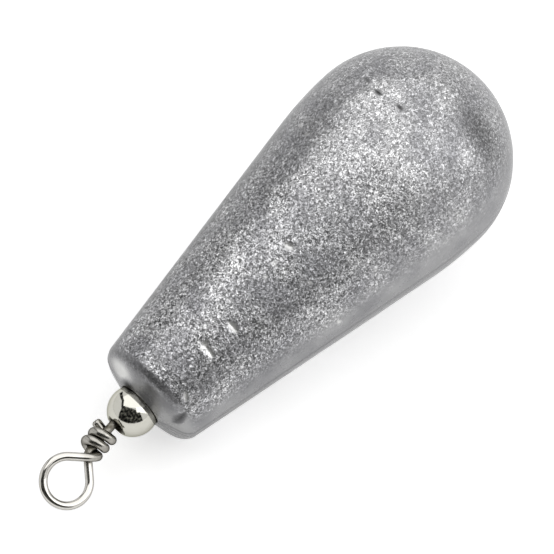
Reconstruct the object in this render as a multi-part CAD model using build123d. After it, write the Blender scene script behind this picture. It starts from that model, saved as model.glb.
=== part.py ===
from build123d import *
import os
from math import asin, atan2, cos, degrees, hypot, pi, sin, sqrt, tan

# A pear-shaped lead fishing sinker with a barrel swivel cast into its neck. Lengths are in millimetres.

# Lead casting: heights run along the sinker's axis from the plane of the neck's sharp edge.
LEAD_LENGTH = 44.0
BULB_DIAMETER = 21.1
NECK_DIAMETER = 10.9
FLANK_SWELL = 0.37
SHOULDER_RADIUS = 36.0
NECK_EDGE_RADIUS = 1.05
NECK_RISE = 1.05
SEAT_LIP_RADIUS = 0.12

# Swivel barrel: a tube with both ends domed and rolled in round the wire.
BARREL_DIAMETER = 4.7
BARREL_LENGTH = 10.2
BARREL_SHOWING = 2.9
BARREL_WALL = 0.55
MOUTH_DIAMETER = 2.16
MOUTH_EDGE_RADIUS = 0.08

# Wire eyes: heights run along the axis, to the wire's centre line.
WIRE_DIAMETER = 0.8
HEAD_DIAMETER = 2.2
HEAD_THICKNESS = 0.5
HEAD_EDGE_RADIUS = 0.12
STEM_SHOWING = 0.57
BEND_ABOVE_WRAP = 0.45
BEND_RADIUS = 1.0
CROSSING_ABOVE_WRAP = 1.07
LOOP_RADIUS = 2.185
LOOP_OFFSET = 0.23
LOOP_TIP = 0.45
WRAP_SWAY = 0.21
TAIL_LENGTH = 1.5
LEAN_ABOVE_MOUTH = 4.0

# Clearances: the stem in its loose mouth, the head under its dome and how far it can slide in, the lead
# round what it was cast on, and the free space between the stem and the wraps, between turns, and where
# the loop's end crosses.
THROAT_CLEARANCE = 0.48
BEARING_CLEARANCE = 0.06
END_PLAY = 0.8
CAST_CLEARANCE = 0.03
WRAP_GAP = 0.14
TURN_GAP = 0.17
CROSSING_GAP = 0.26

# Counts, angles and shares.
LOOP_BENDS = 4
WRAP_QUARTERS = 8
GAP_SAMPLES = 24
EYE_TURN = 30.0
EYE_LEAN = 5.1
ANCHOR_TURN = 90.0
HALF_TURN = 180.0
MOUTH_DEPTH_SHARE = 0.62

# Derived sizes.
BULB_RADIUS = BULB_DIAMETER / 2
NECK_RADIUS = NECK_DIAMETER / 2
BULB_DEPTH = LEAD_LENGTH - BULB_RADIUS
FLANK_REACH = BULB_RADIUS + FLANK_SWELL
FLANK_ANGLE = asin(FLANK_REACH / hypot(NECK_RADIUS, BULB_DEPTH)) - atan2(NECK_RADIUS, BULB_DEPTH)
BARREL_RADIUS = BARREL_DIAMETER / 2
MOUTH_RADIUS = MOUTH_DIAMETER / 2
MOUTH_HEIGHT = BARREL_LENGTH / 2
DOME_HEIGHT = MOUTH_HEIGHT - sqrt(BARREL_RADIUS**2 - MOUTH_RADIUS**2)
CAVITY_RADIUS = BARREL_RADIUS - BARREL_WALL
WIRE_RADIUS = WIRE_DIAMETER / 2
HEAD_RADIUS = HEAD_DIAMETER / 2
THROAT_RADIUS = WIRE_RADIUS + THROAT_CLEARANCE
BEARING_RADIUS = CAVITY_RADIUS - BEARING_CLEARANCE
SEAT_RADIUS = BARREL_RADIUS + CAST_CLEARANCE
THROAT_HEIGHT = DOME_HEIGHT + sqrt(CAVITY_RADIUS**2 - THROAT_RADIUS**2)
CROWN_HEIGHT = DOME_HEIGHT + BEARING_RADIUS - END_PLAY
HEAD_HEIGHT = DOME_HEIGHT + sqrt(BEARING_RADIUS**2 - HEAD_RADIUS**2) - END_PLAY
WRAP_RADIUS = WIRE_DIAMETER + WRAP_GAP
WRAP_PITCH = WIRE_DIAMETER + TURN_GAP
CROSSING_STANDOFF = WIRE_DIAMETER + CROSSING_GAP
TAIL_HEIGHT = MOUTH_HEIGHT + STEM_SHOWING + WIRE_RADIUS
FIRST_WRAP_HEIGHT = TAIL_HEIGHT + WRAP_PITCH * (WRAP_QUARTERS + 1) / 4
BEND_HEIGHT = FIRST_WRAP_HEIGHT + BEND_ABOVE_WRAP
CROSSING_HEIGHT = FIRST_WRAP_HEIGHT + CROSSING_ABOVE_WRAP
LOOP_HEIGHT = CROSSING_HEIGHT + sqrt((LOOP_RADIUS + LOOP_TIP) ** 2 - LOOP_OFFSET**2)
LEAN_HEIGHT = MOUTH_HEIGHT + LEAN_ABOVE_MOUTH
SWIVEL_HEIGHT = NECK_RISE + BARREL_SHOWING - MOUTH_HEIGHT


def section(radius, height):
    """A point of a turned outline: its distance from the axis and its height."""
    return Vector(radius, 0, height)


def turned(edges, rounded=()):
    """Turns a closed outline about the axis. rounded holds (corner, radius) pairs."""
    face = make_face(edges)
    for corner, radius in rounded:
        vertex = face.vertices().sort_by_distance(corner)[0]
        face = fillet(vertex, radius)
    return revolve(face, Axis.Z)


def biarc(start, leaving, end, arriving):
    """Two arcs that leave start along one direction and reach end along the other."""
    chord = end - start
    bend = 2 * (1 - leaving.dot(arriving))
    along = chord.dot(leaving + arriving)
    reach = (sqrt(along**2 + bend * chord.dot(chord)) - along) / bend
    first_corner = start + leaving * reach
    second_corner = end - arriving * reach
    middle = (first_corner + second_corner) / 2
    return [
        Edge.make_tangent_arc(start, leaving, middle),
        Edge.make_tangent_arc(middle, second_corner - first_corner, end),
    ]


def pear():
    """The lead before the swivel's hollow: ball, eased shoulder, straight flank and coned end."""
    ball = section(0, -BULB_DEPTH)
    outward = section(cos(FLANK_ANGLE), sin(FLANK_ANGLE))
    downhill = section(sin(FLANK_ANGLE), -cos(FLANK_ANGLE))
    back = sqrt((SHOULDER_RADIUS - BULB_RADIUS) ** 2 - (SHOULDER_RADIUS - FLANK_REACH) ** 2)
    shoulder = ball - outward * (SHOULDER_RADIUS - FLANK_REACH) - downhill * back
    on_flank = shoulder + outward * SHOULDER_RADIUS
    on_ball = ball + (ball - shoulder).normalized() * BULB_RADIUS
    tip = section(0, -LEAD_LENGTH)
    edge = section(NECK_RADIUS, 0)
    seat = section(SEAT_RADIUS, NECK_RISE)
    top = section(0, NECK_RISE)
    outline = [
        Edge.make_tangent_arc(on_flank, downhill, on_ball),
        Edge.make_tangent_arc(tip, Vector(1, 0, 0), on_ball),
        Edge.make_line(on_flank, edge),
        Edge.make_line(edge, seat),
        Edge.make_line(seat, top),
        Edge.make_line(top, tip),
    ]
    return turned(outline, [(edge, NECK_EDGE_RADIUS)])


def barrel():
    """The swivel's tube, with its middle at the origin."""
    outline = [
        Edge.make_line(section(BARREL_RADIUS, -DOME_HEIGHT), section(BARREL_RADIUS, DOME_HEIGHT)),
        Edge.make_line(section(CAVITY_RADIUS, -DOME_HEIGHT), section(CAVITY_RADIUS, DOME_HEIGHT)),
    ]
    mouths = []
    mouth_depth = MOUTH_DEPTH_SHARE * (MOUTH_HEIGHT - THROAT_HEIGHT)
    for end in (1, -1):
        mouth = section(MOUTH_RADIUS, end * MOUTH_HEIGHT)
        throat = section(THROAT_RADIUS, end * (MOUTH_HEIGHT - mouth_depth))
        inner = section(THROAT_RADIUS, end * THROAT_HEIGHT)
        along = Vector(0, 0, end)
        outline += [
            Edge.make_tangent_arc(section(BARREL_RADIUS, end * DOME_HEIGHT), along, mouth),
            Edge.make_line(mouth, throat),
            Edge.make_line(throat, inner),
            Edge.make_tangent_arc(section(CAVITY_RADIUS, end * DOME_HEIGHT), along, inner),
        ]
        mouths.append((mouth, MOUTH_EDGE_RADIUS))
    return turned(outline, mouths)


def barrel_hollow():
    """The space that the barrel takes up in the lead, open past the neck."""
    corner = section(SEAT_RADIUS, -DOME_HEIGHT)
    end_radius = MOUTH_RADIUS + CAST_CLEARANCE
    end_height = -DOME_HEIGHT - sqrt(SEAT_RADIUS**2 - end_radius**2)
    outline = [
        Edge.make_line(section(SEAT_RADIUS, MOUTH_HEIGHT), corner),
        Edge.make_tangent_arc(corner, Vector(0, 0, -1), section(end_radius, end_height)),
        Edge.make_line(section(end_radius, end_height), section(0, end_height)),
        Edge.make_line(section(0, end_height), section(0, MOUTH_HEIGHT)),
        Edge.make_line(section(0, MOUTH_HEIGHT), section(SEAT_RADIUS, MOUTH_HEIGHT)),
    ]
    return turned(outline)


def wrap_station(quarter):
    """Point and direction on the wraps, a number of quarter turns after the first side."""
    turn = (quarter + 1) * pi / 2
    height = FIRST_WRAP_HEIGHT - WRAP_PITCH * quarter / 4 - WRAP_SWAY * (sin(turn) - 1)
    point = Vector(WRAP_RADIUS * sin(turn), WRAP_RADIUS * cos(turn), height)
    fall = WRAP_PITCH / (2 * pi) + WRAP_SWAY * cos(turn)
    return point, Vector(WRAP_RADIUS * cos(turn), -WRAP_RADIUS * sin(turn), -fall).normalized()


def eye_route():
    """The wire's centre line from its head to its cut end: stem, loop and wraps round the stem."""
    above_bend = LOOP_HEIGHT - BEND_HEIGHT
    above_crossing = LOOP_HEIGHT - CROSSING_HEIGHT
    leaving_lean = atan2(LOOP_OFFSET, above_bend) + asin(LOOP_RADIUS / hypot(LOOP_OFFSET, above_bend))
    return_lean = asin(LOOP_RADIUS / hypot(LOOP_OFFSET, above_crossing)) - atan2(LOOP_OFFSET, above_crossing)

    head = section(0, HEAD_HEIGHT)
    up = Vector(0, 0, 1)
    outward = section(sin(leaving_lean), cos(leaving_lean))
    setback = BEND_RADIUS * tan(leaving_lean / 2)
    corner = section(0, BEND_HEIGHT)
    bend_start = corner - up * setback
    bend_end = corner + outward * setback

    first_angle = -leaving_lean
    swept_angle = pi + return_lean + leaving_lean
    stations = []
    for bend in range(LOOP_BENDS + 1):
        way = bend / LOOP_BENDS
        angle = first_angle + swept_angle * way
        rise = CROSSING_STANDOFF * way**2 * (3 - 2 * way)
        climb = CROSSING_STANDOFF * 6 * way * (1 - way) / swept_angle
        point = Vector(LOOP_OFFSET + LOOP_RADIUS * cos(angle), rise, LOOP_HEIGHT + LOOP_RADIUS * sin(angle))
        heading = Vector(-LOOP_RADIUS * sin(angle), climb, LOOP_RADIUS * cos(angle)).normalized()
        stations.append((point, heading))
    crossing = Vector(0, CROSSING_STANDOFF, CROSSING_HEIGHT)
    wraps = [(crossing, stations[-1][1])]
    wraps += [wrap_station(quarter) for quarter in range(WRAP_QUARTERS + 1)]
    fall = WRAP_PITCH / (2 * pi)
    tail_start = Vector(0, -WRAP_RADIUS, TAIL_HEIGHT)
    tail_heading = section(-WRAP_RADIUS, -fall).normalized()
    wraps.append((tail_start, tail_heading))

    edges = [
        Edge.make_line(head, bend_start),
        Edge.make_tangent_arc(bend_start, up, bend_end),
        Edge.make_line(bend_end, stations[0][0]),
    ]
    for here, after in zip(stations, stations[1:]):
        edges += biarc(*here, *after)
    edges.append(Edge.make_line(stations[-1][0], crossing))
    for here, after in zip(wraps, wraps[1:]):
        edges += biarc(*here, *after)
    edges.append(Edge.make_line(tail_start, tail_start + tail_heading * TAIL_LENGTH))
    return edges


def swept_wire(edges, radius):
    """One unbroken round wire along the route."""
    start = edges[0] @ 0
    return sweep(Plane(start, z_dir=edges[0] % 0) * Circle(radius), path=Wire(edges))


def headed_eye(edges):
    """The wire with its upset head, whose crown fits the inside of the barrel's dome."""
    low_centre = section(0, HEAD_HEIGHT - HEAD_THICKNESS)
    low_edge = section(HEAD_RADIUS, HEAD_HEIGHT - HEAD_THICKNESS)
    high_edge = section(HEAD_RADIUS, HEAD_HEIGHT)
    crown = section(0, CROWN_HEIGHT)
    outline = [
        Edge.make_line(low_centre, low_edge),
        Edge.make_line(low_edge, high_edge),
        Edge.make_tangent_arc(crown, Vector(1, 0, 0), high_edge),
        Edge.make_line(crown, low_centre),
    ]
    head = turned(outline, [(low_edge, HEAD_EDGE_RADIUS), (high_edge, HEAD_EDGE_RADIUS)])
    return head + swept_wire(edges, WIRE_RADIUS)


def least_gap(edges):
    """The smallest free space between two stretches of the wire that lie more than a half turn apart."""
    points = []
    lengths = []
    travelled = 0
    for edge in edges:
        for sample in range(GAP_SAMPLES):
            points.append(edge @ (sample / GAP_SAMPLES))
            lengths.append(travelled + edge.length * sample / GAP_SAMPLES)
        travelled += edge.length
    apart = pi * WRAP_RADIUS
    nearest = travelled
    for here, point in enumerate(points):
        for there in range(here):
            if lengths[here] - lengths[there] > apart:
                nearest = min(nearest, (point - points[there]).length)
    return nearest - WIRE_DIAMETER


route = eye_route()
eye = headed_eye(route)
turned_over = Rotation(HALF_TURN, 0, 0) * Rotation(0, 0, ANCHOR_TURN)
swivel_at = Location((0, 0, SWIVEL_HEIGHT))
lean_at = swivel_at * Rotation(0, 0, -EYE_TURN) * Pos(0, 0, LEAN_HEIGHT) * Rotation(0, EYE_LEAN, 0)
eye_at = lean_at * Pos(0, 0, -LEAN_HEIGHT)
anchor_hollow = turned_over * swept_wire(route, WIRE_RADIUS + CAST_CLEARANCE)
casting = pear() - swivel_at * barrel_hollow() - swivel_at * anchor_hollow
seat_rim = casting.edges().filter_by(GeomType.CIRCLE).sort_by(Axis.Z)[-1]
casting = fillet(seat_rim, SEAT_LIP_RADIUS)

pieces = {
    "lead_body": casting,
    "swivel_barrel": swivel_at * barrel(),
    "line_eye": eye_at * eye,
    "anchor_eye": swivel_at * turned_over * eye,
}

# The sinker lies on its flank, with the eye towards -X, its loop half turned to -Y and its stem leaning
# in the loose mouth.
nose = (-cos(FLANK_ANGLE), 0, -sin(FLANK_ANGLE))
lying = Plane((0, 0, NECK_RADIUS * cos(FLANK_ANGLE)), x_dir=(0, -1, 0), z_dir=nose).location
laid = {node: lying * piece for node, piece in pieces.items()}
span = Compound(children=[Compound(piece.solids()) for piece in laid.values()]).bounding_box()
centring = Location((-(span.min.X + span.max.X) / 2, 0, 0))

os.makedirs("parts", exist_ok=True)
for node, piece in laid.items():
    export_step(centring * piece, f"parts/{node}.step")

print(f"least gap of an eye's wire to itself: {least_gap(route):.3f} mm")
print(f"flank angle: {degrees(FLANK_ANGLE):.3f} degrees")
spin = Plane(centring * lying * lean_at)
loop = Plane(centring * lying * eye_at * Pos(LOOP_OFFSET, CROSSING_STANDOFF / 2, LOOP_HEIGHT))
print(f"the eye spins about {[round(v, 5) for v in spin.origin]} along {[round(v, 7) for v in spin.z_dir]}")
print(f"the loop's centre: {[round(v, 4) for v in loop.origin]}, facing {[round(v, 5) for v in loop.y_dir]}")
for node, piece in laid.items():
    print(f"{node}: {piece.volume:.2f} mm3, {len(piece.solids())} solid")
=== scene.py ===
"""Looks of a pear-shaped lead fishing sinker with a barrel swivel cast into its neck.

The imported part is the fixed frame. Each sub-assembly is a class that holds its sizes in millimetres, builds
its mesh in the sinker's own frame and lays it in the row frame. In the sinker's own frame Z runs along its
axis towards the line eye, from the plane of the neck's sharp edge, and Y points up from the floor.
"""

from __future__ import annotations

import logging
import math
from dataclasses import dataclass
from enum import Enum
from itertools import product
from typing import Any

import bpy
import numpy as np
from mathutils import Matrix, Vector

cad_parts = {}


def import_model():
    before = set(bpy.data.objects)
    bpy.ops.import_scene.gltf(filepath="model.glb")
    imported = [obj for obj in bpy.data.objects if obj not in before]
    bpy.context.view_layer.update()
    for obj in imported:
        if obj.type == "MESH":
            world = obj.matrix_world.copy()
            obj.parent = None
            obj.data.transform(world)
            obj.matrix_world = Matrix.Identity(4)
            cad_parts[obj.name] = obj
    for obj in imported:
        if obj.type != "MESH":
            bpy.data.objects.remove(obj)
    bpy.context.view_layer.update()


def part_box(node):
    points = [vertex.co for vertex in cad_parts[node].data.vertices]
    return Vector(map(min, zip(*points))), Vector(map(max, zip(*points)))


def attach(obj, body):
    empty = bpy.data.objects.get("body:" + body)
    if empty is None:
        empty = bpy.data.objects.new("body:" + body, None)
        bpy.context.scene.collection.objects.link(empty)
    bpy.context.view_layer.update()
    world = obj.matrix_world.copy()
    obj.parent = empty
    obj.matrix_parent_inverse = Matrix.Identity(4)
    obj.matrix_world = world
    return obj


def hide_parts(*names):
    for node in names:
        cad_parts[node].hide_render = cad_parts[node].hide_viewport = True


LOG = logging.getLogger("sinker")
MM = 0.001
BAKE_MAP = "OFBake"
MAP_MARGIN_SHARE = 0.01
SHARP_ANGLE = math.radians(40)
# Most values of a noise texture lie in this span.
NOISE_SPAN = (0.3, 0.7)


class Body(Enum):
    """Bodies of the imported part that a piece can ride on."""

    SINKER = "sinker"
    EYE = "eye"


class Slot(Enum):
    """Material slots of the record."""

    LEAD = "cast_lead"
    BARREL = "plated_barrel"
    WIRE = "plated_wire"


class Layer(Enum):
    """Numbers stored on a mesh for its material to read."""

    GRAIN = "grain"
    # Darkens the lead's colour with tarnish and painted shade above zero, and brightens it with bright metal
    # and painted highlights below zero.
    TARNISH_AND_PAINTED_LIGHT = "tarnish"
    # Darkens and dulls the plating with dirt and with painted shade in recesses.
    GRIME_AND_SHADE = "grime_and_shade"


def linear(hex_colour: str) -> tuple[float, float, float, float]:
    """Turns an sRGB hex colour into linear values.

    Args:
        hex_colour: Colour as "#rrggbb".

    Returns:
        Linear red, green and blue, and full alpha.
    """
    shares = [int(hex_colour[start : start + 2], 16) / 255 for start in (1, 3, 5)]
    red, green, blue = (s / 12.92 if s <= 0.04045 else ((s + 0.055) / 1.055) ** 2.4 for s in shares)
    return red, green, blue, 1.0


def per_metre(size: float) -> float:
    """Texture scale that makes a pattern's features this many millimetres wide."""
    return 1 / (size * MM)


def add_node(
    tree: bpy.types.NodeTree, kind: str, inputs: dict[str | int, Any] | None = None, **settings: Any
) -> bpy.types.Node:
    """Adds a node with its settings and links.

    Args:
        tree: Node tree that gets the node.
        kind: Blender's name for the type of node, after "ShaderNode".
        inputs: What each input gets, by its name or number: a value, an output socket to link, or a node
            whose first output is linked.
        **settings: Properties of the node itself.

    Returns:
        The new node.
    """
    node = tree.nodes.new(f"ShaderNode{kind}")
    for name, value in settings.items():
        setattr(node, name, value)
    for key, value in (inputs or {}).items():
        source = value.outputs[0] if isinstance(value, bpy.types.Node) else value
        if isinstance(source, bpy.types.NodeSocket):
            tree.links.new(source, node.inputs[key])
        else:
            node.inputs[key].default_value = source
    return node


def new_material(name: str) -> tuple[bpy.types.Material, bpy.types.NodeTree]:
    """Makes an empty node material.

    Args:
        name: Name of the material.

    Returns:
        The material and its node tree.
    """
    material = bpy.data.materials.new(name)
    material.use_nodes = True
    material.node_tree.nodes.clear()
    return material, material.node_tree


def seen_rays(tree: bpy.types.NodeTree) -> bpy.types.NodeSocket:
    """Picks out the rays that show a surface to the eye.

    Args:
        tree: Node tree of a material or of the world.

    Returns:
        Output that is 1 for camera, glossy and transmission rays and 0 for the rest.
    """
    path = add_node(tree, "LightPath").outputs
    seen = path["Is Camera Ray"]
    for kind in ("Is Glossy Ray", "Is Transmission Ray"):
        seen = add_node(tree, "Math", {0: seen, 1: path[kind]}, operation="MAXIMUM").outputs[0]
    return seen


def eased(values: np.ndarray, low: float, high: float) -> np.ndarray:
    """Smooth step from 0 at low to 1 at high."""
    share = np.clip((values - low) / (high - low), 0, 1)
    return share * share * (3 - 2 * share)


def lattice_noise(points: np.ndarray, cell: float, seed: int) -> np.ndarray:
    """Smooth noise from random values on a cubic lattice.

    Args:
        points: Places, with the coordinates along the last axis.
        cell: Spacing of the lattice, in the points' own unit.
        seed: Seed of the random values.

    Returns:
        One value from -1 to 1 for each point.
    """
    count = 48
    corners = np.random.default_rng(seed).uniform(-1, 1, (count, count, count))
    scaled = points / cell
    base = np.floor(scaled).astype(int)
    share = eased(scaled - base, 0, 1)
    total = np.zeros(points.shape[:-1])
    for step in product((0, 1), repeat=3):
        weight = np.where(step, share, 1 - share).prod(axis=-1)
        cells = (base + step) % count
        total += weight * corners[cells[..., 0], cells[..., 1], cells[..., 2]]
    return total


def unit(vector: np.ndarray) -> np.ndarray:
    """The vector at length 1."""
    return vector / np.linalg.norm(vector)


def angles_round(count: int) -> np.ndarray:
    """Angles of points that stand evenly round a circle."""
    return np.arange(count) * 2 * math.pi / count


def carried(points: np.ndarray, place: Matrix) -> np.ndarray:
    """The points, one row each, moved by a matrix."""
    return (np.concatenate([points, np.ones((len(points), 1))], axis=1) @ np.array(place).T)[:, :3]


def arc(centre: np.ndarray, start: np.ndarray, end: np.ndarray, step: float) -> np.ndarray:
    """Points along the shorter arc round a centre, both ends included.

    Args:
        centre: Centre of the arc.
        start: First point, which sets the radius.
        end: Point in whose direction the arc ends.
        step: Longest run between two points.

    Returns:
        Points, one row each.
    """
    first = start - centre
    last = end - centre
    radius = np.linalg.norm(first)
    from_angle = math.atan2(first[1], first[0])
    turn = math.remainder(math.atan2(last[1], last[0]) - from_angle, 2 * math.pi)
    count = math.ceil(abs(turn) * radius / step)
    angles = from_angle + turn * np.linspace(0, 1, count + 1)
    return centre + radius * np.stack([np.cos(angles), np.sin(angles)], axis=1)


def rounded(
    before: np.ndarray, corner: np.ndarray, after: np.ndarray, radius: float, step: float
) -> np.ndarray:
    """Points of the arc that rounds a corner between two straight lines.

    Args:
        before: A point on the first line.
        corner: Where the lines meet.
        after: A point on the second line.
        radius: Radius of the rounding.
        step: Longest run between two points.

    Returns:
        Points, one row each.
    """
    back = unit(before - corner)
    onward = unit(after - corner)
    half = math.acos(float(back @ onward)) / 2
    centre = corner + unit(back + onward) * radius / math.sin(half)
    reach = radius / math.tan(half)
    return arc(centre, corner + back * reach, corner + onward * reach, step)


def tangent_arc(start: np.ndarray, leaving: np.ndarray, end: np.ndarray, step: float) -> np.ndarray:
    """Points of the arc that leaves a point along a direction and reaches another, without the first point.

    Args:
        start: Where the arc starts.
        leaving: Direction at its start.
        end: Where it ends.
        step: Longest run between two points.

    Returns:
        Points, one row each.
    """
    chord = end - start
    onward = chord @ leaving
    side = chord - leaving * onward
    half = math.atan2(np.linalg.norm(side), onward)
    radius = np.linalg.norm(chord) / (2 * math.sin(half))
    count = math.ceil(2 * half * radius / step)
    turns = 2 * half * np.linspace(0, 1, count + 1)[1:, None]
    return start + radius * (np.sin(turns) * leaving + (1 - np.cos(turns)) * unit(side))


def biarc(
    start: np.ndarray, leaving: np.ndarray, end: np.ndarray, arriving: np.ndarray, step: float
) -> np.ndarray:
    """Points of two arcs that leave one point along a direction and reach another along a second direction.

    Args:
        start: Where the arcs start, which is left out of the points.
        leaving: Direction at the start.
        end: Where they end.
        arriving: Direction at the end.
        step: Longest run between two points.

    Returns:
        Points, one row each.
    """
    chord = end - start
    # Both arcs have tangents of the same length, the reach, which solves a quadratic equation.
    bend = 2 * (1 - leaving @ arriving)
    along = chord @ (leaving + arriving)
    reach = (math.sqrt(along**2 + bend * (chord @ chord)) - along) / bend
    first_corner = start + leaving * reach
    second_corner = end - arriving * reach
    middle = (first_corner + second_corner) / 2
    second = tangent_arc(middle, unit(second_corner - first_corner), end, step)
    return np.concatenate([tangent_arc(start, leaving, middle, step), second])


def spaced(points: np.ndarray, step: float) -> np.ndarray:
    """Adds points along the straight runs of a line so that none is longer than a step.

    Args:
        points: Corners of the line, one row each.
        step: Longest run that is left.

    Returns:
        The finer line.
    """
    rows = [points[:1]]
    for start, end in zip(points, points[1:]):
        count = math.ceil(np.linalg.norm(end - start) / step)
        rows.append(start + (end - start) * np.linspace(0, 1, count + 1)[1:, None])
    return np.concatenate(rows)


def outline_normals(outline: np.ndarray) -> np.ndarray:
    """Directions that face outwards along an outline that runs up the outside."""
    runs = np.gradient(outline, axis=0)
    runs /= np.linalg.norm(runs, axis=1)[:, None]
    return np.stack([runs[:, 1], -runs[:, 0]], axis=1)


def lathe(outline: np.ndarray, columns: int) -> np.ndarray:
    """Turns an outline about the axis.

    Args:
        outline: Distance from the axis and height of each point.
        columns: Number of points round the axis.

    Returns:
        Points as an array of rings, columns and coordinates.
    """
    angles = angles_round(columns)
    radius, height = outline[:, :1], outline[:, 1:]
    level = np.broadcast_to(height, (len(outline), columns))
    return np.stack([radius * np.cos(angles), radius * np.sin(angles), level], axis=-1)


def tube(route: np.ndarray, radii: np.ndarray, sides: int, hollow: bool) -> np.ndarray:
    """Rings of points round a route that starts along Z.

    Args:
        route: Centre line, one row for each ring.
        radii: Radius of each ring.
        sides: Number of points in a ring.
        hollow: Whether the surface faces the centre line.

    Returns:
        Points as an array of rings, sides and coordinates.
    """
    headings = np.gradient(route, axis=0)
    headings /= np.linalg.norm(headings, axis=1)[:, None]
    angles = angles_round(sides)
    across = np.array([1.0, 0.0, 0.0])
    rings = []
    for point, heading, radius in zip(route, headings, radii):
        across = unit(across - heading * (across @ heading))
        beside = np.cross(across, heading) if hollow else np.cross(heading, across)
        rings.append(point + radius * (np.outer(np.cos(angles), across) + np.outer(np.sin(angles), beside)))
    return np.stack(rings)


def bridge(first: int, second: int) -> list[np.ndarray]:
    """Faces between two rings of points.

    Args:
        first: Number of points in the first ring.
        second: Number of points in the second ring, which divides the first.

    Returns:
        Arrays of faces, where each corner is a ring, 0 or 1, and a column.
    """
    if first == second:
        ring = np.broadcast_to([0, 0, 1, 1], (first, 4))
        column = np.arange(first)[:, None] + np.array([0, 1, 1, 0])
        return [np.stack([ring, column], axis=-1)]
    # Each edge of the finer ring fans in to a point of the coarser one, whose own edges fill what is left.
    share = first // second
    fine = np.arange(first)
    coarse = np.arange(second)
    fans = np.stack([fine, fine + 1, (fine + share // 2) // share], axis=-1)
    links = np.stack([coarse * share + share - share // 2, coarse + 1, coarse], axis=-1)
    return [
        np.stack([np.broadcast_to([0, 0, 1], fans.shape), fans], axis=-1),
        np.stack([np.broadcast_to([0, 1, 1], links.shape), links], axis=-1),
    ]


def rings_object(name: str, rings: list[np.ndarray], closed: bool, place: Matrix) -> bpy.types.Object:
    """Makes a mesh from rings of points, with its ends capped where it isn't closed.

    Args:
        name: Name of the piece.
        rings: Points of each ring in millimetres.
        closed: Whether the last ring joins the first.
        place: Where the mesh goes in the row frame.

    Returns:
        The new object, in the scene, with a flat map for baking.
    """
    chain = list(rings)
    if closed:
        chain.append(chain[0])
    else:
        chain = [chain[0].mean(axis=0)[None], *chain, chain[-1].mean(axis=0)[None]]
    counts = [len(ring) for ring in chain]
    starts = np.cumsum([0, *counts])[:-1]
    if closed:
        starts[-1] = 0
    # The flat map's rows stand as far apart as the area between their rings.
    middles = np.array([ring.mean(axis=0) for ring in chain])
    girths = np.array([np.linalg.norm(ring - middle, axis=1).mean() for ring, middle in zip(chain, middles)])
    runs = np.hypot(np.linalg.norm(np.diff(middles, axis=0), axis=1), np.diff(girths))
    levels = np.concatenate([[0], np.cumsum(runs * (girths[1:] + girths[:-1]))])
    levels /= levels[-1]

    faces = []
    flat = []
    for ring in range(len(chain) - 1):
        swap = counts[ring] < counts[ring + 1]
        for corners in bridge(*sorted(counts[ring : ring + 2], reverse=True)):
            row = ring + (1 - corners[..., 0] if swap else corners[..., 0])
            around = np.array(counts)[row]
            vertex = starts[row] + corners[..., 1] % around
            shares = corners[..., 1] / around
            # A cap's middle lies halfway between the two points that it meets in a face.
            if 1 in counts[ring : ring + 2]:
                on_ring = np.where(around == 1, 0, shares)
                shares = np.where(around == 1, on_ring.sum(axis=1, keepdims=True) / 2, shares)
            places = np.stack([shares, levels[row]], axis=-1)
            order = slice(None, None, -1) if swap else slice(None)
            keep = [face for face in range(len(vertex)) if len(set(vertex[face])) == vertex.shape[1]]
            faces += vertex[keep][:, order].tolist()
            flat.append(places[keep][:, order].reshape(-1, 2))

    points = np.concatenate(chain[:-1] if closed else chain)
    mesh = bpy.data.meshes.new(name)
    mesh.from_pydata((carried(points, place) * MM).tolist(), [], faces)
    layer = mesh.uv_layers.new(name=BAKE_MAP)
    inset = MAP_MARGIN_SHARE + (1 - 2 * MAP_MARGIN_SHARE) * np.concatenate(flat)
    layer.data.foreach_set("uv", inset.ravel().astype(np.float32))
    if mesh.validate(verbose=True):
        LOG.warning("%s had faces that aren't valid", name)
    mesh.shade_smooth()
    piece = bpy.data.objects.new(name, mesh)
    bpy.context.scene.collection.objects.link(piece)
    return piece


def store(piece: bpy.types.Object, layer: Layer, values: np.ndarray) -> None:
    """Stores one number for each vertex of a piece.

    Args:
        piece: The piece.
        layer: Which of its material's layers the numbers are for.
        values: One number for each vertex.
    """
    attribute = piece.data.attributes.new(layer.value, "FLOAT", "POINT")
    attribute.data.foreach_set("value", values.astype(np.float32))


def dress(piece: bpy.types.Object, material: bpy.types.Material, body: Body, slot: Slot, *nodes: str) -> None:
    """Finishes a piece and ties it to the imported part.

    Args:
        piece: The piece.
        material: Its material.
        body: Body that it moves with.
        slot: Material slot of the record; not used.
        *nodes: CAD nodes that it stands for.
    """
    piece.data.materials.append(material)
    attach(piece, body.value)
    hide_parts(*nodes)
    LOG.info("%s: %d faces on %s", piece.name, len(piece.data.polygons), body.value)


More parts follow.
